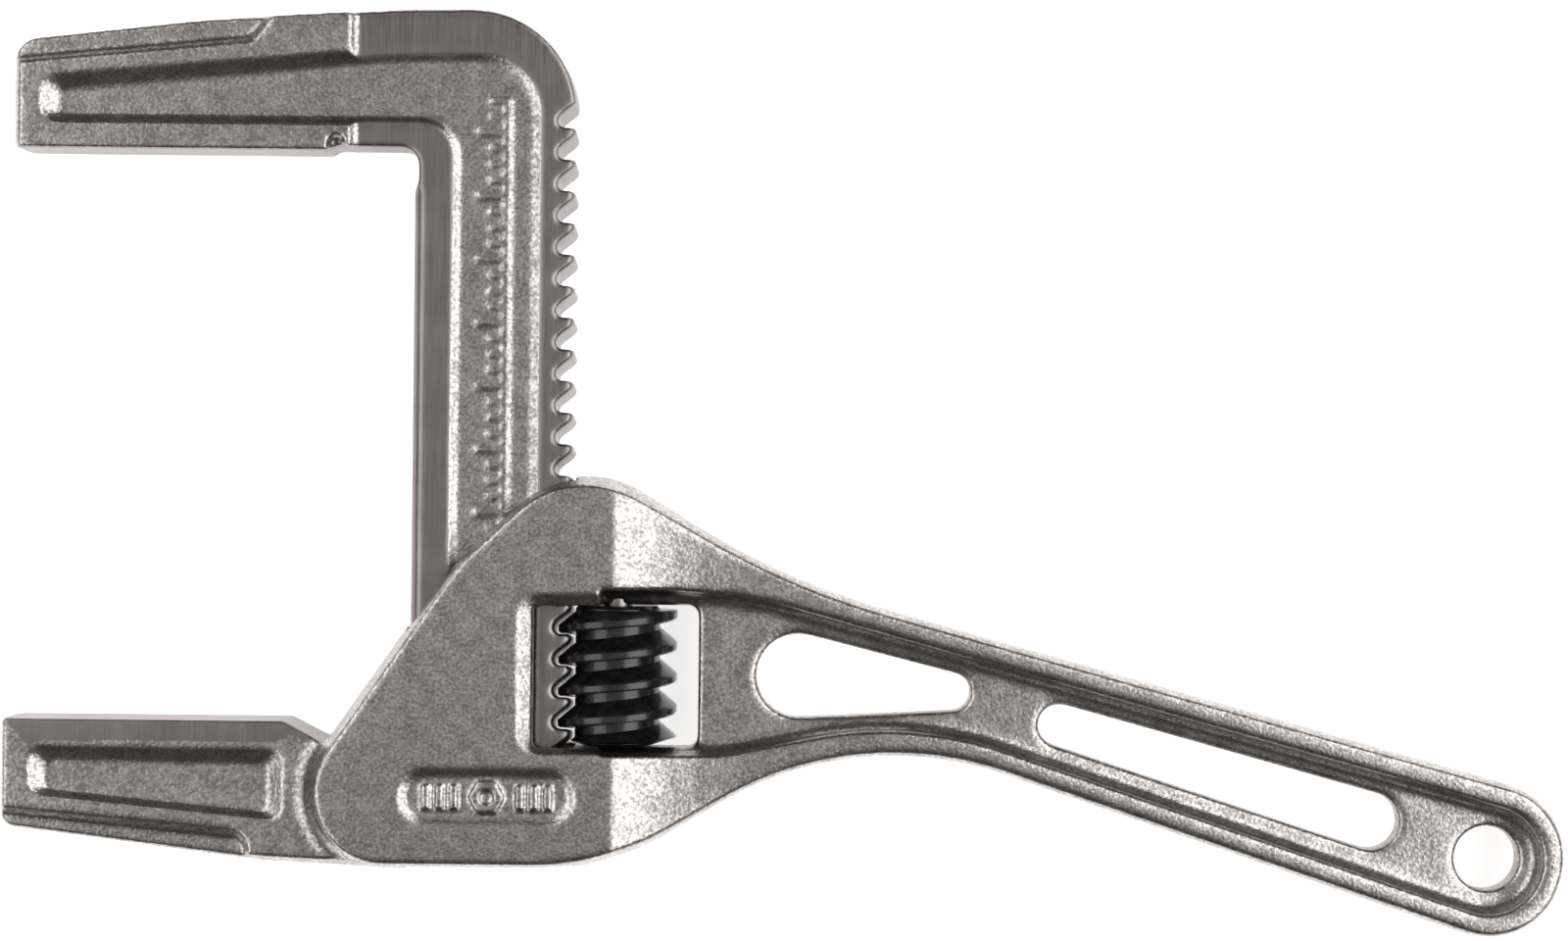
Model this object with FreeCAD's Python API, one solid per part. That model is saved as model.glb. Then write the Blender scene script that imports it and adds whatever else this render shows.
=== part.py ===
"""Wide-mouth adjustable wrench: forged handle with a fixed jaw, toothed sliding jaw and its worm.

Millimetres. The design frame has X = 0 on the worm's axis, Y = 0 just below the fixed jaw's gripping face
and Z = 0 on the wrench's middle plane; the wrench lies flat. Every piece is shifted when it is written, so
that the origin is under the middle of the whole wrench. Both broad sides are alike.
"""
import FreeCAD
import Part
import math
import os

Vector = FreeCAD.Vector

# Levels above the middle plane
HEAD_Z = 10.0
JAW_Z = 6.5
SHANK_Z = 5.5
HANDLE_END_Z = 5.7
WEB_Z = 2.5
DRAFT_FROM_Z = 3.0

# Forged head and handle: corners of the parting-line outline as (x, y, rounding radius)
BOSS_RADIUS = 12.5
HEAD_OUTLINE = [
    (-59.7, -22.6, BOSS_RADIUS),
    (-1.5, -22.6, 42.0),
    (38.0, 1.1, 54.0),
    (146.2, -35.0, 11.8),
    (153.5, -10.7, 11.8),
    (26.4, 23.5, 120.0),
    (-7.0, 44.1, 16.7),
    (-25.9, 26.5, 30.0),
]
HEAD_DRAFT = 1.4
SLOPE_POINTS = [(-0.3, 10.0), (3.5, 8.6), (9.0, 7.2), (16.0, 6.3), (25.0, 6.0)]
SLOPE_START_GRADE = -0.42
SLOPE_END_GRADE = -0.003
HANDLE_END_X = 165.0
EDGE_ROUND = 0.8
ROUNDED_FROM_X = -50.0
ROUNDED_FROM_Z = 5.1

# Recess that runs from the worm's window to the handle's end, and the openings in its web
RECESS_OUTLINE = [
    (-12.9, -3.8, 3.0),
    (17.0, -3.8, 30.0),
    (46.8, 2.2, 60.0),
    (143.7, -30.2, 8.4),
    (148.7, -13.4, 8.4),
    (22.0, 20.8, 60.0),
    (8.0, 21.9, 15.0),
    (-12.9, 21.9, 3.0),
]
RECESS_COVE = 2.2
FRONT_SLOT = ((28.8, 8.55, 6.6), (53.2, 6.2, 3.0))
REAR_SLOT = ((70.3, 1.1, 3.3), (119.9, -13.6, 4.5))
HANG_HOLE_CENTRE = (138.4, -19.3)
HANG_HOLE_R = 5.1

# Worm window and shank channel
WINDOW_LEFT = -12.9
WINDOW_RIGHT = 12.9
WINDOW_BOTTOM = -3.0
WINDOW_TOP = 19.5
BEVEL_LEFT = -15.4
BEVEL_BOTTOM = -3.8
BEVEL_TOP = 21.4
BEVEL_DEPTH = 1.4
BEVEL_END_X = -1.5
LIP_RIGHT = -2.5
LIP_MARGIN = 2.0
CHANNEL_LEFT = -32.85
CHANNEL_RIGHT = -6.75
CHANNEL_Z = 5.6

# Badge pocket on the head
BADGE_CENTRE = (-19.9, -10.6)
BADGE_LENGTH = 28.0
BADGE_HEIGHT = 9.2
BADGE_DRAFT = 1.4
BADGE_DEPTH = 0.8
BADGE_RELIEF = 0.55
BADGE_NUT_R = 2.7
BADGE_NUT_HOLE_R = 1.3
BADGE_NUT_ROUND = 0.2
BADGE_BARS_X = (5.2, 7.4, 9.6)
BADGE_BAR_SIZE = (1.0, 3.6)

# Fixed jaw
FIXED_FACE_Y = 0.8
FIXED_ROOT_Y = -2.4
FIXED_JAW = [
    (-97.2, -16.3, 2.5),
    (-56.0, -21.4, 60.0),
    (-36.0, -22.4, 1.0),
    (-36.0, FIXED_ROOT_Y, 1.0),
    (-46.3, FIXED_ROOT_Y, 2.0),
    (-52.4, FIXED_FACE_Y, 1.5),
    (-97.2, FIXED_FACE_Y, 0.6),
]
FIXED_JAW_TOP = [
    (-96.4, -15.5, 1.8),
    (-56.0, -20.4, 59.0),
    (-36.0, -21.4, 1.0),
    (-36.0, FIXED_ROOT_Y, 1.0),
    (-46.3, FIXED_ROOT_Y, 2.0),
    (-52.4, FIXED_FACE_Y, 1.5),
    (-96.4, FIXED_FACE_Y, 0.6),
]
FIXED_DRAFT_Z = 4.0
FIXED_POCKET_FLOOR_Z = 5.0
FIXED_POCKET_FLOOR = [
    (-90.0, -10.4, 1.6),
    (-54.9, -13.7, 1.2),
    (-54.9, -6.1, 1.2),
    (-90.0, -5.7, 1.6),
]
FIXED_POCKET_RIM = [
    (-92.7, -11.1, 2.6),
    (-52.2, -15.0, 2.0),
    (-52.2, -3.6, 2.0),
    (-92.7, -3.3, 2.6),
]
FIXED_LEDGE_Z = 5.2
FIXED_LEDGE_FOOT = [
    (-105.0, -30.0, 1.0),
    (-58.3, -30.0, 1.0),
    (-58.3, -18.1, 2.5),
    (-105.0, -13.6, 1.0),
]
FIXED_LEDGE_LIP = [
    (-105.0, -30.0, 1.0),
    (-57.6, -30.0, 1.0),
    (-57.6, -16.3, 3.4),
    (-105.0, -12.1, 1.0),
]
BOSS_FILLET = 3.0

# Sliding jaw, drawn where it opens the jaws to 90 mm
TIP_X = -96.0
SLIDING_FACE_Y = 90.8
SHANK_LEFT = -32.7
SHANK_END_Y = -20.0
RACK_TIP_X = -7.05
SLIDING_OUTLINE = [
    (TIP_X, SLIDING_FACE_Y, 0.5),
    (-46.4, SLIDING_FACE_Y, 0.5),
    (-45.4, 91.5, 0.5),
    (-32.0, 91.5, 2.8),
    (-32.0, 86.0, 1.0),
    (SHANK_LEFT, 85.0, 1.0),
    (SHANK_LEFT, SHANK_END_Y, 1.5),
    (RACK_TIP_X, SHANK_END_Y, 1.0),
    (RACK_TIP_X, 113.6, 16.5),
    (-33.0, 113.4, 80.0),
    (-66.0, 111.4, 150.0),
    (TIP_X, 107.9, 4.0),
]
STEP_X = -42.8
STEP_RADIUS = 1.7
TIP_BEVEL = 1.0
TIP_BEVEL_DEPTH = 2.0
TIP_BEVEL_Y = (90.0, 109.0)
SHANK_BEVEL = 1.3
SHANK_BEVEL_DEPTH = 1.3
SHANK_BEVEL_Y = (-25.0, 85.3)
SLIDING_LEDGE_Z = 5.3
SLIDING_LEDGE_FOOT = [
    (-105.0, 104.3, 1.0),
    (-58.9, 108.9, 1.2),
    (-56.2, 112.4, 1.0),
    (-56.2, 125.0, 1.0),
    (-105.0, 125.0, 1.0),
]
SLIDING_LEDGE_LIP = [
    (-105.0, 103.2, 1.0),
    (-58.0, 107.7, 1.2),
    (-54.9, 111.7, 1.0),
    (-54.9, 125.0, 1.0),
    (-105.0, 125.0, 1.0),
]
SLIDING_POCKET_FLOOR_Z = 4.7
SLIDING_POCKET_FLOOR = [
    (-88.8, 96.1, 1.4),
    (-25.6, 96.1, 6.0),
    (-25.6, -12.0, 2.0),
    (-14.0, -12.0, 2.0),
    (-14.0, 105.5, 8.5),
    (-36.0, 105.1, 60.0),
    (-88.8, 99.9, 1.4),
]
SLIDING_POCKET_RIM = [
    (-91.9, 94.9, 2.6),
    (-27.6, 94.9, 4.4),
    (-28.6, -14.5, 2.0),
    (-10.6, -14.5, 2.0),
    (-10.6, 107.5, 10.5),
    (-36.0, 107.2, 60.0),
    (-91.9, 102.4, 3.0),
]
DIMPLE_CENTRE = (-45.0, 91.9)
DIMPLE_R = 1.5

# Raised scale in the shank's recess
SCALE_SPINE_X = (-18.4, -17.6)
SCALE_Y = (24.0, 99.0)
SCALE_STEP = 2.5
SCALE_TICK_WIDTH = 0.8
SCALE_SHORT_TICK = 2.4
SCALE_LONG_TICK = 4.4
SCALE_LONG_EVERY = 4
SCALE_RELIEF = 0.5

# Rack and worm
PITCH = 5.0
RACK_ROOT_X = -9.95
RACK_TOP_FLANK_Y = 94.5
RACK_SPACES = 23
RACK_TIP_LAND = 1.1
RACK_ROOT_ROUND = 0.6
RACK_SLANT = 0.09
RACK_CORNER = 0.7
RACK_OVERCUT = 1.0
RACK_MOUTH_ROUND = 0.05
WORM_R = 9.5
WORM_ROOT_R = 6.75
WORM_CREST = 1.5
WORM_CREST_CHAMFER = 0.3
THREAD_OVERLAP = 0.5
LOAD_FLANK_DEG = 3.0
BACK_FLANK_DEG = 37.0
LOAD_CLEARANCE = 0.30
WORM_BOTTOM = -2.85
WORM_TOP = 19.35
THREAD_BOTTOM = -2.3
THREAD_TOP = 18.7
WORM_BORE_R = 2.4
SPRING_BORE_R = 4.4
SPRING_BORE_TOP = 4.6
WORM_END_CHAMFER = 0.5
WORM_FOOT_R = 5.4
WORM_FOOT_RISE = 1.7

# Worm pin and spring
PIN_R = 2.32
PIN_TOP = 26.5
PIN_HOLE_TOP = 27.0
PIN_HEAD_R = 3.5
PIN_HEAD_HOLE_R = 3.6
PIN_SEAT_Y = -15.6
PIN_HEAD_END = -18.2
PIN_SLOT = (1.0, 1.1)
PIN_TIP_CHAMFER = 0.6
SPRING_R = 3.4
SPRING_WIRE_R = 0.35
SPRING_BOTTOM = -2.55
SPRING_PITCH = 1.5
SPRING_TURNS = 4.5

REACH = 300.0
OVERRUN = 0.01
EMBED = 0.2


def rounded_outline(corners, z):
    """Closed wire at height z whose (x, y, radius) corners are rounded with arcs."""
    count = len(corners)
    arcs = []
    for index in range(count):
        radius = corners[index][2]
        here = Vector(corners[index][0], corners[index][1], z)
        before = Vector(corners[index - 1][0], corners[index - 1][1], z)
        after = Vector(corners[(index + 1) % count][0], corners[(index + 1) % count][1], z)
        to_before = (before - here).normalize()
        to_after = (after - here).normalize()
        half_angle = to_before.getAngle(to_after) / 2
        bisector = (to_before + to_after).normalize()
        reach = radius / math.tan(half_angle)
        centre = here + bisector * (radius / math.sin(half_angle))
        arcs.append((here + to_before * reach, centre - bisector * radius, here + to_after * reach))
    edges = []
    for index in range(count):
        start, middle, end = arcs[index]
        following = arcs[(index + 1) % count][0]
        edges.append(Part.Arc(start, middle, end).toShape())
        edges.append(Part.makeLine(end, following))
    return Part.Wire(edges)


def corner_centre(corners, index):
    """Middle of the arc that rounds one corner of an outline."""
    x, y, radius = corners[index]
    here = Vector(x, y, 0)
    before = Vector(corners[index - 1][0], corners[index - 1][1], 0) - here
    after = Vector(corners[index + 1][0], corners[index + 1][1], 0) - here
    half_angle = before.getAngle(after) / 2
    bisector = (before.normalize() + after.normalize()).normalize()
    return here + bisector * (radius / math.sin(half_angle))


def prism(corners, low_z, high_z):
    """Straight-walled solid on a rounded outline."""
    face = Part.Face(rounded_outline(corners, low_z))
    return face.extrude(Vector(0, 0, high_z - low_z))


def drafted(low_corners, high_corners, low_z, high_z):
    """Solid with sloping walls between two outlines that have the same corners."""
    low_wire = rounded_outline(low_corners, low_z)
    high_wire = rounded_outline(high_corners, high_z)
    return Part.makeLoft([low_wire, high_wire], True, True)


def inset(corners, distance):
    """The outline moved inwards (for corners listed anticlockwise)."""
    moved = []
    count = len(corners)
    for index in range(count):
        x, y, radius = corners[index]
        following = corners[(index + 1) % count]
        before = Vector(corners[index - 1][0] - x, corners[index - 1][1] - y, 0).normalize()
        after = Vector(following[0] - x, following[1] - y, 0).normalize()
        half_angle = before.getAngle(after) / 2
        bisector = (before + after).normalize()
        convex = after.cross(before).z > 0
        side = 1 if convex else -1
        step = bisector * (side * distance / math.sin(half_angle))
        moved.append((x + step.x, y + step.y, radius - side * distance))
    return moved


def box(low, high):
    """Box between two opposite corners."""
    size = [high[axis] - low[axis] for axis in range(3)]
    return Part.makeBox(size[0], size[1], size[2], Vector(*low))


def rod_along_y(radius, low_y, high_y):
    """Round rod on the worm's axis."""
    return Part.makeCylinder(radius, high_y - low_y, Vector(0, low_y, 0), Vector(0, 1, 0))


def other_side(shape):
    """Copy of a solid on the wrench's other broad side."""
    return shape.mirror(Vector(0, 0, 0), Vector(0, 0, 1))


def on_both_sides(shape):
    """A solid with its mirror image below the middle plane."""
    return [shape, other_side(shape)]


def tapered_slot(first, second, low_z, high_z):
    """Solid with parallel ends rounded to two (x, y, radius) circles and straight tangent sides."""
    x1, y1, r1 = first
    x2, y2, r2 = second
    span = math.hypot(x2 - x1, y2 - y1)
    heading = math.atan2(y2 - y1, x2 - x1)
    lean = math.acos((r1 - r2) / span)
    points = []
    for sign in (1, -1):
        angle = heading + sign * lean
        points.append(Vector(x1 + r1 * math.cos(angle), y1 + r1 * math.sin(angle), low_z))
        points.append(Vector(x2 + r2 * math.cos(angle), y2 + r2 * math.sin(angle), low_z))
    far_first = Vector(x1 - r1 * math.cos(heading), y1 - r1 * math.sin(heading), low_z)
    far_second = Vector(x2 + r2 * math.cos(heading), y2 + r2 * math.sin(heading), low_z)
    edges = [
        Part.makeLine(points[0], points[1]),
        Part.Arc(points[1], far_second, points[3]).toShape(),
        Part.makeLine(points[3], points[2]),
        Part.Arc(points[2], far_first, points[0]).toShape(),
    ]
    return Part.Face(Part.Wire(edges)).extrude(Vector(0, 0, high_z - low_z))


def thickness_envelope():
    """Everything below the upper side: flat head, curved slope and gently thinning handle."""
    slope = Part.BSplineCurve()
    slope.interpolate(
        Points=[Vector(x, -REACH / 2, z) for x, z in SLOPE_POINTS],
        InitialTangent=Vector(1, 0, SLOPE_START_GRADE),
        FinalTangent=Vector(1, 0, SLOPE_END_GRADE),
    )
    start = Vector(SLOPE_POINTS[0][0], -REACH / 2, SLOPE_POINTS[0][1])
    end = Vector(SLOPE_POINTS[-1][0], -REACH / 2, SLOPE_POINTS[-1][1])
    corners = [
        end,
        Vector(HANDLE_END_X, -REACH / 2, HANDLE_END_Z),
        Vector(HANDLE_END_X, -REACH / 2, 0),
        Vector(-REACH / 2, -REACH / 2, 0),
        Vector(-REACH / 2, -REACH / 2, HEAD_Z),
        start,
    ]
    edges = [slope.toShape()]
    for index in range(len(corners) - 1):
        edges.append(Part.makeLine(corners[index], corners[index + 1]))
    return Part.Face(Part.Wire(edges)).extrude(Vector(0, REACH, 0))


def chosen_edges(shape, is_wanted):
    """Edges of a solid whose middle point passes a test."""
    chosen = []
    for edge in shape.Edges:
        middle = edge.valueAt((edge.FirstParameter + edge.LastParameter) / 2)
        if is_wanted(edge, middle):
            chosen.append(edge)
    return chosen


def forged_blank():
    """Upper half of the head and handle with drafted walls, before any recess."""
    core = prism(HEAD_OUTLINE, 0, DRAFT_FROM_Z)
    flank = drafted(HEAD_OUTLINE, inset(HEAD_OUTLINE, HEAD_DRAFT), DRAFT_FROM_Z, HEAD_Z)
    return core.fuse(flank).common(thickness_envelope())


def boss_fillet():
    """Concave band between the fixed jaw's face and the round end of the head."""
    slope = HEAD_DRAFT / (HEAD_Z - DRAFT_FROM_Z)
    foot = BOSS_RADIUS - slope * (JAW_Z - DRAFT_FROM_Z)
    top = foot - slope * BOSS_FILLET
    inner = foot - BOSS_FILLET
    lean = BOSS_FILLET * (1 - math.sqrt(0.5))
    under = JAW_Z - EMBED
    start = Vector(foot + BOSS_FILLET, 0, JAW_Z)
    middle = Vector(foot + lean, 0, JAW_Z + lean)
    end = Vector(top, 0, JAW_Z + BOSS_FILLET)
    edges = [
        Part.Arc(start, middle, end).toShape(),
        Part.makeLine(end, Vector(inner, 0, JAW_Z + BOSS_FILLET)),
        Part.makeLine(Vector(inner, 0, JAW_Z + BOSS_FILLET), Vector(inner, 0, under)),
        Part.makeLine(Vector(inner, 0, under), Vector(foot + BOSS_FILLET, 0, under)),
        Part.makeLine(Vector(foot + BOSS_FILLET, 0, under), start),
    ]
    ring = Part.Face(Part.Wire(edges)).revolve(Vector(0, 0, 0), Vector(0, 0, 1), 360)
    ring.translate(corner_centre(HEAD_OUTLINE, 0))
    return ring.common(prism(FIXED_JAW_TOP, 0, HEAD_Z))


def fixed_jaw():
    """Upper half of the fixed jaw with its pocket and the ledge along its back."""
    block = prism(FIXED_JAW, 0, FIXED_DRAFT_Z)
    block = block.fuse(drafted(FIXED_JAW, FIXED_JAW_TOP, FIXED_DRAFT_Z, JAW_Z))
    pocket = drafted(FIXED_POCKET_FLOOR, FIXED_POCKET_RIM, FIXED_POCKET_FLOOR_Z, JAW_Z + OVERRUN)
    ledge = drafted(FIXED_LEDGE_FOOT, FIXED_LEDGE_LIP, FIXED_LEDGE_Z, JAW_Z + OVERRUN)
    return block.cut(pocket).cut(ledge)


def handle_recess():
    """The recess with its coved floor."""
    tool = prism(RECESS_OUTLINE, WEB_Z, HEAD_Z + OVERRUN)
    floor_edges = chosen_edges(tool, lambda edge, middle: middle.z < WEB_Z + OVERRUN)
    return tool.makeFillet(RECESS_COVE, floor_edges)


def window_bevel():
    """Sloping lead-in around the worm window's shank side, with a straight wall below it."""
    wide = [
        (BEVEL_LEFT, BEVEL_BOTTOM, 3.6),
        (BEVEL_END_X, BEVEL_BOTTOM, 0.5),
        (BEVEL_END_X, BEVEL_TOP, 0.5),
        (BEVEL_LEFT, BEVEL_TOP, 3.6),
    ]
    narrow = [
        (WINDOW_LEFT, WINDOW_BOTTOM, 2.4),
        (BEVEL_END_X, WINDOW_BOTTOM, 0.5),
        (BEVEL_END_X, WINDOW_TOP, 0.5),
        (WINDOW_LEFT, WINDOW_TOP, 2.4),
    ]
    foot_z = HEAD_Z - BEVEL_DEPTH
    wall = prism(narrow, CHANNEL_Z - OVERRUN, foot_z)
    return drafted(narrow, wide, foot_z, HEAD_Z + OVERRUN).fuse(wall)


def window_lips():
    """Full-height metal beyond both ends of the window's shank side, which the bevel is cut into."""
    far = box((BEVEL_LEFT, WINDOW_TOP, WEB_Z), (LIP_RIGHT, BEVEL_TOP + LIP_MARGIN, HEAD_Z))
    near = box((BEVEL_LEFT, BEVEL_BOTTOM - LIP_MARGIN, WEB_Z), (LIP_RIGHT, WINDOW_BOTTOM, HEAD_Z))
    return [far, near]


def badge():
    """Badge pocket's cutting solid and the plain raised nut and bars that stand in it."""
    x, y = BADGE_CENTRE
    half_length = BADGE_LENGTH / 2
    half_height = BADGE_HEIGHT / 2
    rim = [
        (x - half_length, y - half_height, half_height - OVERRUN),
        (x + half_length, y - half_height, half_height - OVERRUN),
        (x + half_length, y + half_height, half_height - OVERRUN),
        (x - half_length, y + half_height, half_height - OVERRUN),
    ]
    floor_z = HEAD_Z - BADGE_DEPTH
    pocket = drafted(inset(rim, BADGE_DRAFT), rim, floor_z, HEAD_Z + OVERRUN)
    nut_corners = [(x + BADGE_NUT_R * math.cos(math.radians(60 * k)),
                    y + BADGE_NUT_R * math.sin(math.radians(60 * k)), BADGE_NUT_ROUND) for k in range(6)]
    nut = prism(nut_corners, floor_z - EMBED, floor_z + BADGE_RELIEF)
    nut = nut.cut(Part.makeCylinder(BADGE_NUT_HOLE_R, HEAD_Z, Vector(x, y, floor_z)))
    raised = [nut]
    width, height = BADGE_BAR_SIZE
    for offset in BADGE_BARS_X:
        for side in (-1, 1):
            middle = x + side * offset
            raised.append(box((middle - width / 2, y - height / 2, floor_z - EMBED),
                              (middle + width / 2, y + height / 2, floor_z + BADGE_RELIEF)))
    return pocket, raised


def build_handle_body():
    """Head, fixed jaw and handle forged in one piece."""
    half = forged_blank()
    half = half.cut(handle_recess())
    rounded = chosen_edges(half, is_outer_upper_edge)
    half = half.makeFillet(EDGE_ROUND, rounded)
    half = half.fuse(window_lips()).cut(window_bevel())
    pocket, raised = badge()
    half = half.cut(pocket).fuse(raised)
    half = half.fuse([fixed_jaw(), boss_fillet()])
    body = half.fuse(other_side(half)).removeSplitter()
    window = [
        (WINDOW_LEFT, WINDOW_BOTTOM, 1.0),
        (WINDOW_RIGHT, WINDOW_BOTTOM, 1.5),
        (WINDOW_RIGHT, WINDOW_TOP, 1.5),
        (WINDOW_LEFT, WINDOW_TOP, 1.0),
    ]
    x, y = HANG_HOLE_CENTRE
    openings = [
        prism(window, -HEAD_Z - OVERRUN, HEAD_Z + OVERRUN),
        box((CHANNEL_LEFT, -REACH / 2, -CHANNEL_Z), (CHANNEL_RIGHT, REACH / 2, CHANNEL_Z)),
        tapered_slot(FRONT_SLOT[0], FRONT_SLOT[1], -HEAD_Z, HEAD_Z),
        tapered_slot(REAR_SLOT[0], REAR_SLOT[1], -HEAD_Z, HEAD_Z),
        Part.makeCylinder(HANG_HOLE_R, 2 * HEAD_Z, Vector(x, y, -HEAD_Z)),
        rod_along_y(WORM_BORE_R, -REACH / 2, PIN_HOLE_TOP),
        rod_along_y(PIN_HEAD_HOLE_R, -REACH / 2, PIN_SEAT_Y),
    ]
    return body.cut(openings)


def is_outer_upper_edge(edge, middle):
    """True for the edges between the upper side and the walls, the recess's rim included."""
    if middle.z < ROUNDED_FROM_Z or middle.x < ROUNDED_FROM_X:
        return False
    runs_along_y = edge.BoundBox.XLength < OVERRUN and edge.BoundBox.YLength > RECESS_COVE
    return not runs_along_y


def sliding_blank():
    """The sliding jaw's whole outline, thicker at the tip, with a coved step down to the shank."""
    whole = prism(SLIDING_OUTLINE, -JAW_Z, JAW_Z)
    top_z = JAW_Z + OVERRUN
    drop = top_z - SHANK_Z
    steepest = math.acos((STEP_RADIUS - drop) / STEP_RADIUS)
    run = STEP_RADIUS * math.sin(steepest)
    middle_run = run - STEP_RADIUS * math.sin(steepest / 2)
    middle_z = SHANK_Z + STEP_RADIUS * (1 - math.cos(steepest / 2))
    start = Vector(STEP_X, -REACH / 2, top_z)
    foot = Vector(STEP_X + run, -REACH / 2, SHANK_Z)
    far_foot = Vector(REACH / 2, -REACH / 2, SHANK_Z)
    far_top = Vector(REACH / 2, -REACH / 2, top_z)
    edges = [
        Part.Arc(start, Vector(STEP_X + middle_run, -REACH / 2, middle_z), foot).toShape(),
        Part.makeLine(foot, far_foot),
        Part.makeLine(far_foot, far_top),
        Part.makeLine(far_top, start),
    ]
    step = Part.Face(Part.Wire(edges)).extrude(Vector(0, REACH, 0))
    return whole.cut(on_both_sides(step))


def edge_bevel(x, width, depth, level, span):
    """Bar that bevels an edge running along Y at x, facing -X, between the two values of span."""
    low_y, high_y = span
    outside = x - 1
    points = [
        Vector(outside, low_y, level + OVERRUN),
        Vector(outside, low_y, level - depth),
        Vector(x, low_y, level - depth),
        Vector(x + width, low_y, level + OVERRUN),
        Vector(outside, low_y, level + OVERRUN),
    ]
    return Part.Face(Part.makePolygon(points)).extrude(Vector(0, high_y - low_y, 0))


def rack_spaces():
    """Slanted cutting bars, one per tooth space."""
    back_rise = math.tan(math.radians(BACK_FLANK_DEG))
    tip_gap = PITCH - RACK_TIP_LAND
    root_gap = tip_gap - (RACK_TIP_X - RACK_ROOT_X) * back_rise
    mouth_gap = tip_gap + RACK_OVERCUT * back_rise
    mouth_x = RACK_TIP_X + RACK_OVERCUT
    shear = Vector(0, RACK_SLANT * 2 * JAW_Z, 2 * JAW_Z)
    bars = []
    for index in range(RACK_SPACES):
        flank_y = RACK_TOP_FLANK_Y - PITCH * index
        corners = [
            (RACK_ROOT_X, flank_y, RACK_ROOT_ROUND),
            (mouth_x, flank_y, RACK_MOUTH_ROUND),
            (mouth_x, flank_y + mouth_gap, RACK_MOUTH_ROUND),
            (RACK_ROOT_X, flank_y + root_gap, RACK_ROOT_ROUND),
        ]
        bar = Part.Face(rounded_outline(corners, -JAW_Z)).extrude(shear)
        bar.translate(Vector(0, -RACK_SLANT * JAW_Z, 0))
        bars.append(bar)
    return bars


def rack_corner_cutters():
    """Bars that bevel the front and back corners of the rack's tips."""
    low_y = SHANK_END_Y - PITCH
    high_y = RACK_TOP_FLANK_Y + PITCH - RACK_TIP_LAND
    outside_x = RACK_TIP_X + RACK_OVERCUT
    outside_z = SHANK_Z + RACK_OVERCUT
    points = [
        Vector(RACK_TIP_X - RACK_CORNER, low_y, SHANK_Z),
        Vector(RACK_TIP_X, low_y, SHANK_Z - RACK_CORNER),
        Vector(outside_x, low_y, SHANK_Z - RACK_CORNER),
        Vector(outside_x, low_y, outside_z),
        Vector(RACK_TIP_X - RACK_CORNER, low_y, outside_z),
        Vector(RACK_TIP_X - RACK_CORNER, low_y, SHANK_Z),
    ]
    bar = Part.Face(Part.makePolygon(points)).extrude(Vector(0, high_y - low_y, 0))
    return on_both_sides(bar)


def scale_ticks():
    """Raised plain scale that stands on the shank recess's floor."""
    floor_z = SLIDING_POCKET_FLOOR_Z
    top_z = floor_z + SCALE_RELIEF
    left, right = SCALE_SPINE_X
    raised = [box((left, SCALE_Y[0], floor_z - EMBED), (right, SCALE_Y[1], top_z))]
    count = int((SCALE_Y[1] - SCALE_Y[0]) / SCALE_STEP) + 1
    for index in range(count):
        length = SCALE_LONG_TICK if index % SCALE_LONG_EVERY == 0 else SCALE_SHORT_TICK
        y = SCALE_Y[0] + index * SCALE_STEP
        raised.append(box((left - length, y - SCALE_TICK_WIDTH / 2, floor_z - EMBED),
                          (right, y + SCALE_TICK_WIDTH / 2, top_z)))
    return raised


def build_movable_jaw():
    """Sliding jaw: arm, shank and rack in one piece."""
    body = sliding_blank()
    cutters = []
    cutters.extend(on_both_sides(edge_bevel(TIP_X, TIP_BEVEL, TIP_BEVEL_DEPTH, JAW_Z, TIP_BEVEL_Y)))
    shank_bevel = edge_bevel(SHANK_LEFT, SHANK_BEVEL, SHANK_BEVEL_DEPTH, SHANK_Z, SHANK_BEVEL_Y)
    cutters.extend(on_both_sides(shank_bevel))
    ledge = drafted(SLIDING_LEDGE_FOOT, SLIDING_LEDGE_LIP, SLIDING_LEDGE_Z, JAW_Z + OVERRUN)
    cutters.extend(on_both_sides(ledge))
    pocket = drafted(SLIDING_POCKET_FLOOR, SLIDING_POCKET_RIM, SLIDING_POCKET_FLOOR_Z, JAW_Z + OVERRUN)
    cutters.extend(on_both_sides(pocket))
    dimple = Part.makeSphere(DIMPLE_R, Vector(DIMPLE_CENTRE[0], DIMPLE_CENTRE[1], JAW_Z))
    cutters.extend(on_both_sides(dimple))
    body = body.cut(cutters)
    body = body.cut(rack_spaces())
    body = body.cut(rack_corner_cutters())
    ticks = scale_ticks()
    return body.fuse(ticks + [other_side(tick) for tick in ticks]).removeSplitter()


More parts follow.
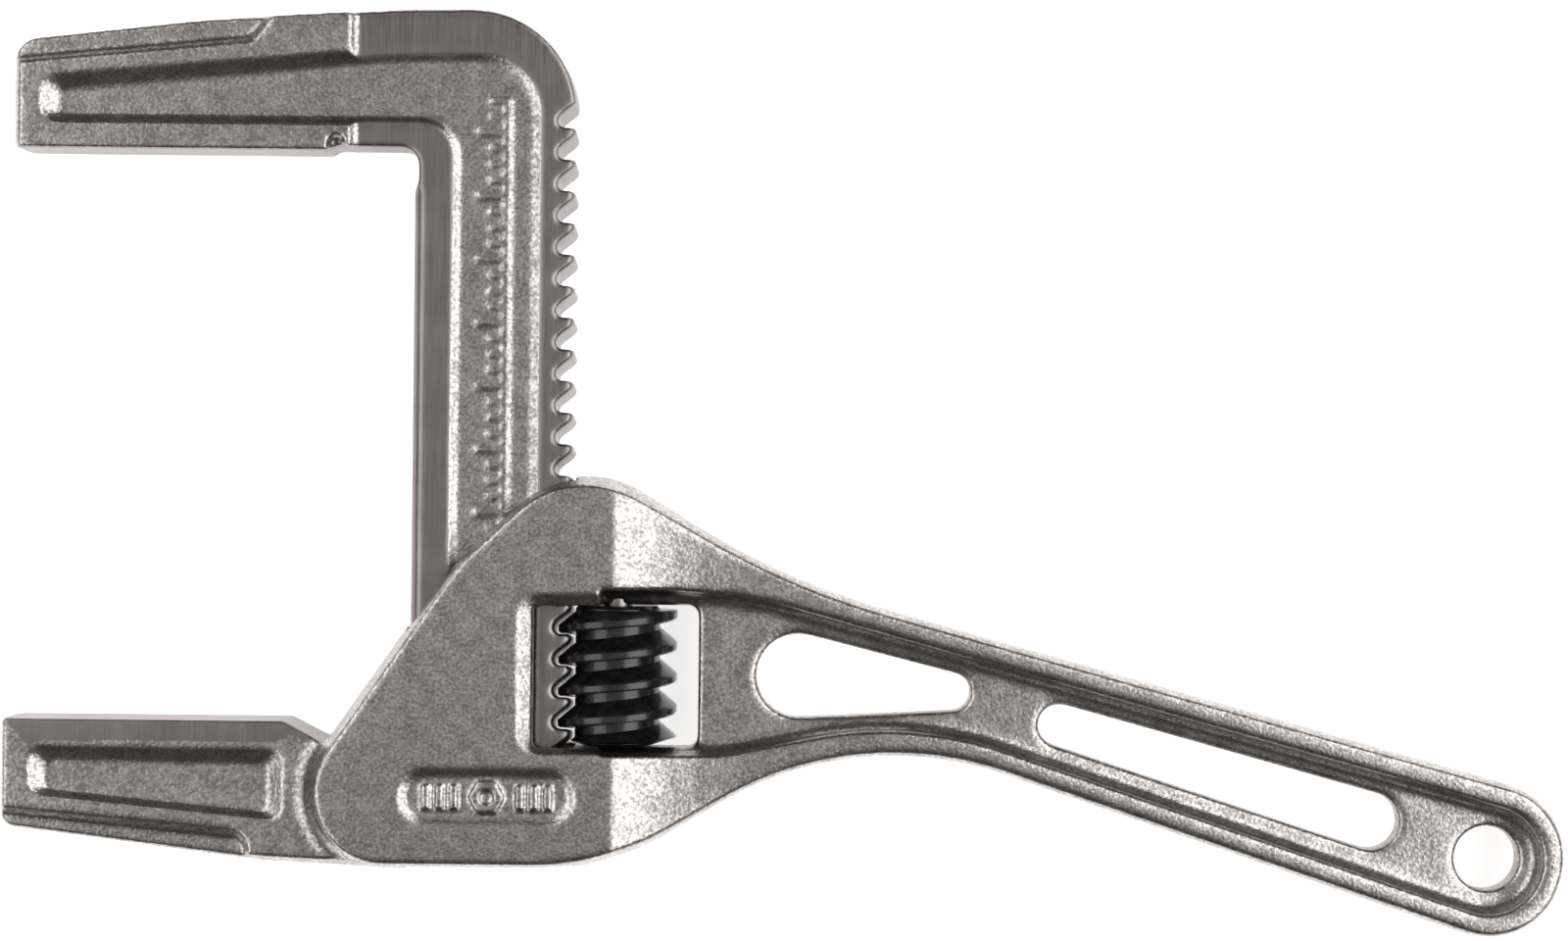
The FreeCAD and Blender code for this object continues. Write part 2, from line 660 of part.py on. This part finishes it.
def thread():
    """Right-handed buttress thread on the Y axis, longer than needed at both ends."""
    root = WORM_ROOT_R - THREAD_OVERLAP
    depth = WORM_R - root
    shoulder = WORM_R - WORM_CREST_CHAMFER
    flat = WORM_CREST / 2 - WORM_CREST_CHAMFER
    load_run = depth * math.tan(math.radians(LOAD_FLANK_DEG))
    back_run = depth * math.tan(math.radians(BACK_FLANK_DEG))
    corners = [
        Vector(root, 0, -WORM_CREST / 2 - load_run),
        Vector(shoulder, 0, -WORM_CREST / 2),
        Vector(WORM_R, 0, -flat),
        Vector(WORM_R, 0, flat),
        Vector(shoulder, 0, WORM_CREST / 2),
        Vector(root, 0, WORM_CREST / 2 + back_run),
        Vector(root, 0, -WORM_CREST / 2 - load_run),
    ]
    turns = math.ceil((THREAD_TOP - THREAD_BOTTOM) / PITCH) + 3
    path = Part.makeLongHelix(PITCH, turns * PITCH, WORM_R, 0)
    solid = Part.Wire(path.Edges).makePipeShell([Part.makePolygon(corners)], True, True)
    # The helix starts on +X; turned onto the Y axis, its strands on -X sit half a pitch higher.
    solid.rotate(Vector(0, 0, 0), Vector(1, 0, 0), -90)
    crest_y = RACK_TOP_FLANK_Y + LOAD_CLEARANCE + WORM_CREST / 2
    phase = (crest_y - PITCH / 2) % PITCH
    lowest = math.floor((THREAD_BOTTOM - phase) / PITCH) - 1
    solid.translate(Vector(0, phase + lowest * PITCH, 0))
    return solid


def build_worm():
    """Worm screw with its bore and the counterbore that holds the spring."""
    core = rod_along_y(WORM_ROOT_R, WORM_BOTTOM, WORM_TOP)
    end_edges = chosen_edges(core, lambda edge, middle: edge.BoundBox.YLength < OVERRUN)
    core = core.makeChamfer(WORM_END_CHAMFER, end_edges)
    band = rod_along_y(WORM_R + 1, THREAD_BOTTOM, THREAD_TOP)
    foot_top = WORM_BOTTOM + WORM_FOOT_RISE
    bottom = Vector(0, WORM_BOTTOM, 0)
    foot = Part.makeCone(WORM_FOOT_R, WORM_R + 1, WORM_FOOT_RISE, bottom, Vector(0, 1, 0))
    above_foot = rod_along_y(WORM_R + 1, foot_top, WORM_TOP)
    body = core.fuse(thread().common(band)).common(foot.fuse(above_foot))
    body = body.cut(rod_along_y(WORM_BORE_R, WORM_BOTTOM - 1, WORM_TOP + 1))
    return body.cut(rod_along_y(SPRING_BORE_R, WORM_BOTTOM - 1, SPRING_BORE_TOP))


def build_worm_pin():
    """Pin that carries the worm, with a slotted head sunk in the head's lower edge."""
    shaft = rod_along_y(PIN_R, PIN_HEAD_END, PIN_TOP)
    tip_edges = chosen_edges(shaft, lambda edge, middle: middle.y > PIN_TOP - OVERRUN)
    shaft = shaft.makeChamfer(PIN_TIP_CHAMFER, tip_edges)
    head = rod_along_y(PIN_HEAD_R, PIN_HEAD_END, PIN_SEAT_Y)
    width, depth = PIN_SLOT
    slot = box((-REACH, PIN_HEAD_END - REACH, -width / 2), (REACH, PIN_HEAD_END + depth, width / 2))
    return shaft.fuse(head).cut(slot)


def build_worm_spring():
    """Small coil spring round the pin that takes up the worm's end play."""
    path = Part.makeLongHelix(SPRING_PITCH, SPRING_PITCH * SPRING_TURNS, SPRING_R, 0)
    circle = Part.makeCircle(SPRING_WIRE_R, Vector(SPRING_R, 0, 0), Vector(0, 1, 0))
    coil = path.makePipeShell([Part.Wire([circle])], True, True)
    coil.rotate(Vector(0, 0, 0), Vector(1, 0, 0), -90)
    coil.translate(Vector(0, SPRING_BOTTOM, 0))
    return coil


def main():
    pieces = {
        "handle_body": build_handle_body(),
        "movable_jaw": build_movable_jaw(),
        "worm": build_worm(),
        "worm_pin": build_worm_pin(),
        "worm_spring": build_worm_spring(),
    }
    whole = FreeCAD.BoundBox()
    for shape in pieces.values():
        whole.add(shape.optimalBoundingBox(False, False))
    shift = Vector(-(whole.XMin + whole.XMax) / 2, -(whole.YMin + whole.YMax) / 2, -whole.ZMin)
    os.makedirs("parts", exist_ok=True)
    for name, shape in pieces.items():
        shape.translate(shift)
        shape.exportStep("parts/" + name + ".step")
        bounds = shape.optimalBoundingBox(False, False)
        low = (round(bounds.XMin, 2), round(bounds.YMin, 2), round(bounds.ZMin, 2))
        high = (round(bounds.XMax, 2), round(bounds.YMax, 2), round(bounds.ZMax, 2))
        print(name, "solids", len(shape.Solids), "valid", shape.isValid(), "from", low, "to", high)
    print("shift", shift)
    clash = pieces["worm"].common(pieces["movable_jaw"]).Volume
    print("worm in rack overlap", round(clash, 4))


main()
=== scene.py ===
"""Looks for the wide-mouth adjustable wrench: forged skins over the CAD frame, finishes, light and camera.

Metres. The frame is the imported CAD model: the wrench lies flat, +Z up, with the handle towards +X and the
sliding jaw towards +Y.
"""
import math

import bpy
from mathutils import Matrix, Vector


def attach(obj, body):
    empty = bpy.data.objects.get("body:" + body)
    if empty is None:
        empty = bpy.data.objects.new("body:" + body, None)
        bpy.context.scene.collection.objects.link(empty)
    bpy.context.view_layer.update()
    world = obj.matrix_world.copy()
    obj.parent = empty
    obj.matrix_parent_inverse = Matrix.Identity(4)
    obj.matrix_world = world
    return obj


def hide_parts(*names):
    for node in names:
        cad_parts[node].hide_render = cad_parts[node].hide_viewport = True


MM = 0.001

# Where the CAD design frame (worm axis, fixed jaw's face, middle plane) sits in the row frame, in mm
DESIGN_SHIFT = (-26.652, -40.857, 10.0)

# Camera: straight above, turned a little, focused on the middle plane
CAMERA_HEIGHT = 0.55
CAMERA_CENTRE = (-0.00045, 0.00024)
CAMERA_TURN_DEG = 0.6
SENSOR_WIDTH = 36.0
FRAME_WIDTH = 0.250

# Remeshing of the forged pieces. The handle's rims are softened further, fading in between two X values.
BODY_VOXEL = 0.00034
JAW_VOXEL = 0.00030
SMOOTH_STEPS = 5
SMOOTH_FACTOR = 0.5
SKIN_TRIANGLES = 185000
RIM_SMOOTH_STEPS = 24
RIM_START_X = -4.0
RIM_FULL_X = 14.0

# Machined areas of the pieces, in design-frame mm
JAW_STEP_X = -41.6
SHANK_RECESS_LEFT = -28.0
SHANK_RECESS_RIGHT = -11.5
SHANK_RECESS_BOTTOM = -19.0
ARM_RECESS_BOTTOM = 96.5
SHANK_SURFACE_Z = 5.35
BACK_WALL_Y = 104.0
SLIDING_FACE_TOP = 91.6
FIXED_JAW_RIGHT = -46.0
FIXED_FACE_ROOT_Y = -2.6
CHANNEL_LEFT = -33.4
WINDOW_RIGHT = 13.2
CHANNEL_Z = 5.9
FLAT = 0.8
SLOPED = 0.5

# Forged skin: grain per mm, share of sand against mottling, and colours from pits to peaks
SAND_PER_MM = 1.9
MOTTLE_PER_MM = 0.35
SAND_SHARE = 0.75
FORGED_COLOURS = [
    (0.38, (0.23, 0.215, 0.205)),
    (0.5, (0.38, 0.358, 0.342)),
    (0.62, (0.58, 0.55, 0.53)),
]
FORGED_ROUGHNESS = (0.36, 0.26)
FORGED_GRAIN_HEIGHT = 0.00020
FORGED_GRAIN_STRENGTH = 0.5

# Machined faces
CUTTER_STRETCH = (6.0, 0.15, 1.0)
CLOUD_PER_MM = 0.12
CUTTER_SHARE = 0.4
MILLED_COLOURS = [(0.38, (0.225, 0.20, 0.195)), (0.62, (0.275, 0.245, 0.24))]
MILLED_ROUGHNESS = (0.30, 0.42)
CUTTER_HEIGHT = 0.00003
CUTTER_STRENGTH = 0.4

# Worm
OXIDE_CLOUD_PER_MM = 0.5
OXIDE_COLOURS = [(0.35, (0.006, 0.006, 0.007)), (0.65, (0.016, 0.016, 0.018))]
OXIDE_ROUGHNESS = (0.20, 0.34)
OXIDE_METALLIC = 0.3
OIL_COAT = 0.4
OIL_ROUGHNESS = 0.15
OXIDE_GRAIN_PER_MM = 2.5
OXIDE_GRAIN_HEIGHT = 0.00004
OXIDE_GRAIN_STRENGTH = 0.35

# Pin and spring
TURNING_RINGS_PER_MM = 1.2
TURNING_WOBBLE = 0.6
TURNED_COLOURS = [(0.0, (0.30, 0.29, 0.28)), (1.0, (0.38, 0.37, 0.36))]
TURNED_ROUGHNESS = (0.28, 0.36)

# Floor: a painted glow, emission although it is no lamp, that fades outwards between two distances in mm,
# so that low reflections stay dark
FLOOR_SIZE = 4.0
FLOOR_CLOUD_PER_MM = 0.01
FLOOR_COLOURS = [(0.3, (0.93, 0.93, 0.93)), (0.7, (0.96, 0.96, 0.96))]
FLOOR_ROUGHNESS = 0.7
PAINTED_GLOW_STRENGTH = (0.75, 0.15)
PAINTED_GLOW_FADE_MM = (170.0, 380.0)

# Light: dim surroundings and soft boxes as (name, place, size along X or Y and across it, power in W)
WORLD_COLOUR = (1.0, 0.99, 0.97, 1.0)
WORLD_STRENGTH = 0.06
SOFT_BOXES = [
    ("top_box", (0.0, 0.0, 1.30), (1.1, 0.60), 1.0),
    ("left_box", (-0.68, 0.05, 0.67), (1.4, 0.60), 5.5),
    ("right_box", (0.60, 0.05, 0.73), (1.4, 0.66), 9.0),
    ("far_box", (0.0, 0.56, 0.77), (1.4, 0.25), 0.55),
]


# ---------------------------------------------------------------- materials


class Nodes:
    """Small helper that builds a material's node tree."""

    def __init__(self, name):
        self.material = bpy.data.materials.new(name)
        self.material.use_nodes = True
        self.tree = self.material.node_tree
        self.shader = self.tree.nodes["Principled BSDF"]

    def add(self, kind, **settings):
        node = self.tree.nodes.new(kind)
        for name, value in settings.items():
            setattr(node, name, value)
        return node

    def link(self, output, target):
        self.tree.links.new(output, target)

    def position_mm(self):
        """Object coordinates in millimetres."""
        coords = self.add("ShaderNodeTexCoord")
        scale = self.add("ShaderNodeVectorMath", operation="SCALE")
        scale.inputs["Scale"].default_value = 1 / MM
        self.link(coords.outputs["Object"], scale.inputs[0])
        return scale.outputs["Vector"]

    def noise(self, vector, per_mm, detail, roughness=0.5):
        node = self.add("ShaderNodeTexNoise")
        node.inputs["Scale"].default_value = per_mm
        node.inputs["Detail"].default_value = detail
        node.inputs["Roughness"].default_value = roughness
        self.link(vector, node.inputs["Vector"])
        return node.outputs["Fac"]

    def spread(self, value, low, high, from_low=0.3, from_high=0.7):
        """A noise value stretched from its usual range to low..high."""
        node = self.add("ShaderNodeMapRange")
        node.inputs["From Min"].default_value = from_low
        node.inputs["From Max"].default_value = from_high
        node.inputs["To Min"].default_value = low
        node.inputs["To Max"].default_value = high
        self.link(value, node.inputs["Value"])
        return node.outputs["Result"]

    def ramp(self, value, stops):
        node = self.add("ShaderNodeValToRGB")
        elements = node.color_ramp.elements
        while len(elements) < len(stops):
            elements.new(0.5)
        for element, (place, colour) in zip(elements, stops):
            element.position = place
            element.color = (*colour, 1.0)
        self.link(value, node.inputs["Fac"])
        return node.outputs["Color"]

    def math(self, operation, first, second):
        node = self.add("ShaderNodeMath", operation=operation)
        for socket, value in zip(node.inputs, (first, second)):
            if isinstance(value, (int, float)):
                socket.default_value = value
            else:
                self.link(value, socket)
        return node.outputs["Value"]

    def mix(self, first, second, share):
        """Two values added, the first one counting for the given share."""
        weighted = self.math("MULTIPLY", first, share)
        rest = self.math("MULTIPLY", second, 1 - share)
        return self.math("ADD", weighted, rest)

    def bump(self, height, distance, strength):
        node = self.add("ShaderNodeBump")
        node.inputs["Distance"].default_value = distance
        node.inputs["Strength"].default_value = strength
        self.link(height, node.inputs["Height"])
        self.link(node.outputs["Normal"], self.shader.inputs["Normal"])


def forged_steel():
    """Plated forging with a shot-blasted skin: warm mid-grey, sandy grain, soft mottling."""
    build = Nodes("forged_steel")
    place = build.position_mm()
    sand = build.noise(place, SAND_PER_MM, 3.0, 0.55)
    mottle = build.noise(place, MOTTLE_PER_MM, 2.0)
    mixed = build.mix(sand, mottle, SAND_SHARE)
    build.link(build.ramp(mixed, FORGED_COLOURS), build.shader.inputs["Base Color"])
    build.link(build.spread(sand, *FORGED_ROUGHNESS), build.shader.inputs["Roughness"])
    build.shader.inputs["Metallic"].default_value = 1.0
    build.bump(mixed, FORGED_GRAIN_HEIGHT, FORGED_GRAIN_STRENGTH)
    return build.material


def milled_steel():
    """Machined faces: darker and smoother, with faint cutter lines."""
    build = Nodes("milled_steel")
    place = build.position_mm()
    stretch = build.add("ShaderNodeMapping")
    stretch.inputs["Scale"].default_value = CUTTER_STRETCH
    build.link(place, stretch.inputs["Vector"])
    lines = build.noise(stretch.outputs["Vector"], 1.0, 2.0)
    cloud = build.noise(place, CLOUD_PER_MM, 2.0)
    mixed = build.mix(lines, cloud, CUTTER_SHARE)
    build.link(build.ramp(mixed, MILLED_COLOURS), build.shader.inputs["Base Color"])
    build.link(build.spread(lines, *MILLED_ROUGHNESS), build.shader.inputs["Roughness"])
    build.shader.inputs["Metallic"].default_value = 1.0
    build.bump(lines, CUTTER_HEIGHT, CUTTER_STRENGTH)
    return build.material


def black_oxide():
    """Oiled black worm: dark, glossy, a little uneven."""
    build = Nodes("black_oxide")
    place = build.position_mm()
    cloud = build.noise(place, OXIDE_CLOUD_PER_MM, 3.0)
    build.link(build.ramp(cloud, OXIDE_COLOURS), build.shader.inputs["Base Color"])
    build.link(build.spread(cloud, *OXIDE_ROUGHNESS), build.shader.inputs["Roughness"])
    build.shader.inputs["Metallic"].default_value = OXIDE_METALLIC
    build.shader.inputs["Coat Weight"].default_value = OIL_COAT
    build.shader.inputs["Coat Roughness"].default_value = OIL_ROUGHNESS
    fine = build.noise(place, OXIDE_GRAIN_PER_MM, 2.0)
    build.bump(fine, OXIDE_GRAIN_HEIGHT, OXIDE_GRAIN_STRENGTH)
    return build.material


def turned_steel():
    """Plain turned pin and spring wire."""
    build = Nodes("turned_steel")
    place = build.position_mm()
    rings = build.add("ShaderNodeTexWave", wave_type="BANDS", bands_direction="Y")
    rings.inputs["Scale"].default_value = TURNING_RINGS_PER_MM
    rings.inputs["Distortion"].default_value = TURNING_WOBBLE
    build.link(place, rings.inputs["Vector"])
    bands = rings.outputs["Fac"]
    build.link(build.ramp(bands, TURNED_COLOURS), build.shader.inputs["Base Color"])
    build.link(build.spread(bands, *TURNED_ROUGHNESS, 0.0, 1.0), build.shader.inputs["Roughness"])
    build.shader.inputs["Metallic"].default_value = 1.0
    return build.material


def floor_paint_and_glow():
    """White sweep the wrench lies on, with a painted glow that fades outwards."""
    build = Nodes("floor_paint_and_glow")
    place = build.position_mm()
    cloud = build.noise(place, FLOOR_CLOUD_PER_MM, 2.0)
    colour = build.ramp(cloud, FLOOR_COLOURS)
    build.link(colour, build.shader.inputs["Base Color"])
    # painted glow: the floor's white is also emitted as light, strongest in the middle and fading outwards
    build.link(colour, build.shader.inputs["Emission Color"])
    reach = build.add("ShaderNodeVectorMath", operation="LENGTH")
    build.link(place, reach.inputs[0])
    glow = build.spread(reach.outputs["Value"], *PAINTED_GLOW_STRENGTH, *PAINTED_GLOW_FADE_MM)
    build.link(glow, build.shader.inputs["Emission Strength"])
    build.shader.inputs["Roughness"].default_value = FLOOR_ROUGHNESS
    return build.material


# ---------------------------------------------------------------- pieces


def evaluated_mesh(piece):
    """A new mesh with the piece's modifiers applied."""
    graph = bpy.context.evaluated_depsgraph_get()
    return bpy.data.meshes.new_from_object(piece.evaluated_get(graph))


def triangle_count(mesh):
    """How many triangles a mesh makes."""
    return sum(len(face.vertices) - 2 for face in mesh.polygons)


def soften_rims(piece):
    """Round the handle's rims further, fading in along X so that the head keeps its edges."""
    rims = piece.vertex_groups.new(name="rims")
    for vertex in piece.data.vertices:
        x = vertex.co.x / MM - DESIGN_SHIFT[0]
        weight = (x - RIM_START_X) / (RIM_FULL_X - RIM_START_X)
        if weight > 0:
            rims.add([vertex.index], min(1.0, weight), "REPLACE")
    soften = piece.modifiers.new("soften", "SMOOTH")
    soften.factor = SMOOTH_FACTOR
    soften.iterations = RIM_SMOOTH_STEPS
    soften.vertex_group = rims.name


def forged_skin(node, name, body, voxel, materials):
    """A softened copy of a CAD node that stands for it: voxel remesh, light smoothing, thinning out."""
    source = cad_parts[node]
    piece = bpy.data.objects.new(name, source.data.copy())
    bpy.context.scene.collection.objects.link(piece)
    remesh = piece.modifiers.new("remesh", "REMESH")
    remesh.mode = "VOXEL"
    remesh.voxel_size = voxel
    remesh.use_smooth_shade = True
    smooth = piece.modifiers.new("smooth", "SMOOTH")
    smooth.factor = SMOOTH_FACTOR
    smooth.iterations = SMOOTH_STEPS
    piece.data = evaluated_mesh(piece)
    piece.modifiers.clear()
    soften_rims(piece)
    thin = piece.modifiers.new("thin", "DECIMATE")
    thin.ratio = min(1.0, SKIN_TRIANGLES / triangle_count(piece.data))
    mesh = evaluated_mesh(piece)
    piece.modifiers.clear()
    piece.data = mesh
    mesh.materials.clear()
    for material in materials:
        mesh.materials.append(material)
    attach(piece, body)
    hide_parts(node)
    return piece


def set_faces(piece, index, is_wanted):
    """Give the faces that pass a test, in design-frame millimetres, the material with that index."""
    for face in piece.data.polygons:
        centre = face.center / MM - Vector(DESIGN_SHIFT)
        if is_wanted(centre, face.normal):
            face.material_index = index


def is_milled_on_jaw(centre, normal):
    """The sliding jaw's machined faces: shank flanks and edges, rack and gripping face."""
    between_recess_walls = SHANK_RECESS_BOTTOM < centre.y and centre.x < SHANK_RECESS_RIGHT
    in_recess = between_recess_walls and (centre.x > SHANK_RECESS_LEFT or centre.y > ARM_RECESS_BOTTOM)
    is_back_wall = centre.y > BACK_WALL_Y and abs(normal.z) < SLOPED
    if is_back_wall or in_recess and abs(centre.z) < SHANK_SURFACE_Z:
        return False
    if centre.x > JAW_STEP_X:
        return True
    return normal.y < -FLAT and centre.y < SLIDING_FACE_TOP


def is_milled_on_body(centre, normal):
    """The body's machined faces: the gripping face with the flat beside it, and the shank channel."""
    by_fixed_face = centre.x < FIXED_JAW_RIGHT and centre.y > FIXED_FACE_ROOT_Y
    if by_fixed_face and (normal.y > FLAT or abs(normal.z) > FLAT):
        return True
    in_channel = CHANNEL_LEFT < centre.x < WINDOW_RIGHT and abs(centre.z) < CHANNEL_Z
    return in_channel and abs(normal.z) > SLOPED


def dress_cad_node(node, material):
    """Give a CAD node that is shown as it is its finish."""
    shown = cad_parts[node]
    shown.data.materials.clear()
    shown.data.materials.append(material)


# ---------------------------------------------------------------- stage


def area_light(name, place, size, power):
    """Soft white box aimed at the middle of the floor."""
    data = bpy.data.lights.new(name, "AREA")
    data.shape = "RECTANGLE"
    data.size = size[0]
    data.size_y = size[1]
    data.energy = power
    light = bpy.data.objects.new(name, data)
    light.location = place
    light.rotation_euler = (-Vector(place)).to_track_quat("-Z", "Y").to_euler()
    bpy.context.scene.collection.objects.link(light)
    return light


def build_stage():
    """White floor with a painted glow, dim surroundings, and soft boxes above, left, right and beyond the
    sliding jaw.
    """
    bpy.ops.mesh.primitive_plane_add(size=FLOOR_SIZE, location=(0, 0, 0))
    floor = bpy.context.object
    floor.name = "floor"
    floor.data.materials.append(floor_paint_and_glow())
    world = bpy.data.worlds.new("studio")
    bpy.context.scene.world = world
    world.use_nodes = True
    background = world.node_tree.nodes["Background"]
    background.inputs["Color"].default_value = WORLD_COLOUR
    background.inputs["Strength"].default_value = WORLD_STRENGTH
    for name, place, size, power in SOFT_BOXES:
        area_light(name, place, size, power)


def build_camera():
    """Camera straight above the wrench."""
    data = bpy.data.cameras.new("camera")
    data.sensor_width = SENSOR_WIDTH
    data.lens = SENSOR_WIDTH * CAMERA_HEIGHT / FRAME_WIDTH
    data.clip_start = 0.01
    camera = bpy.data.objects.new("camera", data)
    middle_plane = DESIGN_SHIFT[2] * MM
    camera.location = (CAMERA_CENTRE[0], CAMERA_CENTRE[1], middle_plane + CAMERA_HEIGHT)
    camera.rotation_euler = (0, 0, math.radians(CAMERA_TURN_DEG))
    bpy.context.scene.collection.objects.link(camera)
    bpy.context.scene.camera = camera


def build_pieces():
    """Every visible piece of the wrench."""
    forged = forged_steel()
    milled = milled_steel()
    steels = [forged, milled]
    body = forged_skin("handle_body", "handle_forging", "wrench", BODY_VOXEL, steels)
    set_faces(body, 1, is_milled_on_body)
    jaw = forged_skin("movable_jaw", "jaw_forging", "sliding_jaw", JAW_VOXEL, steels)
    set_faces(jaw, 1, is_milled_on_jaw)
    dress_cad_node("worm", black_oxide())
    turned = turned_steel()
    dress_cad_node("worm_pin", turned)
    dress_cad_node("worm_spring", turned)
    for piece in (body, jaw):
        print(piece.name, "triangles", triangle_count(piece.data))


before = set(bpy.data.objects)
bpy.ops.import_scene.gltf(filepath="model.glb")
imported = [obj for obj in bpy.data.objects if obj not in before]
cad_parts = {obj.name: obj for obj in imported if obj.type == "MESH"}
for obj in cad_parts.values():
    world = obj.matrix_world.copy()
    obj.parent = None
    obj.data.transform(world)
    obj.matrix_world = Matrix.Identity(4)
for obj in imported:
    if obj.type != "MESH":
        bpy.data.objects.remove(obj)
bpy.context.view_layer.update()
build_stage()
build_camera()
build_pieces()
bpy.context.scene.view_settings.view_transform = "Standard"
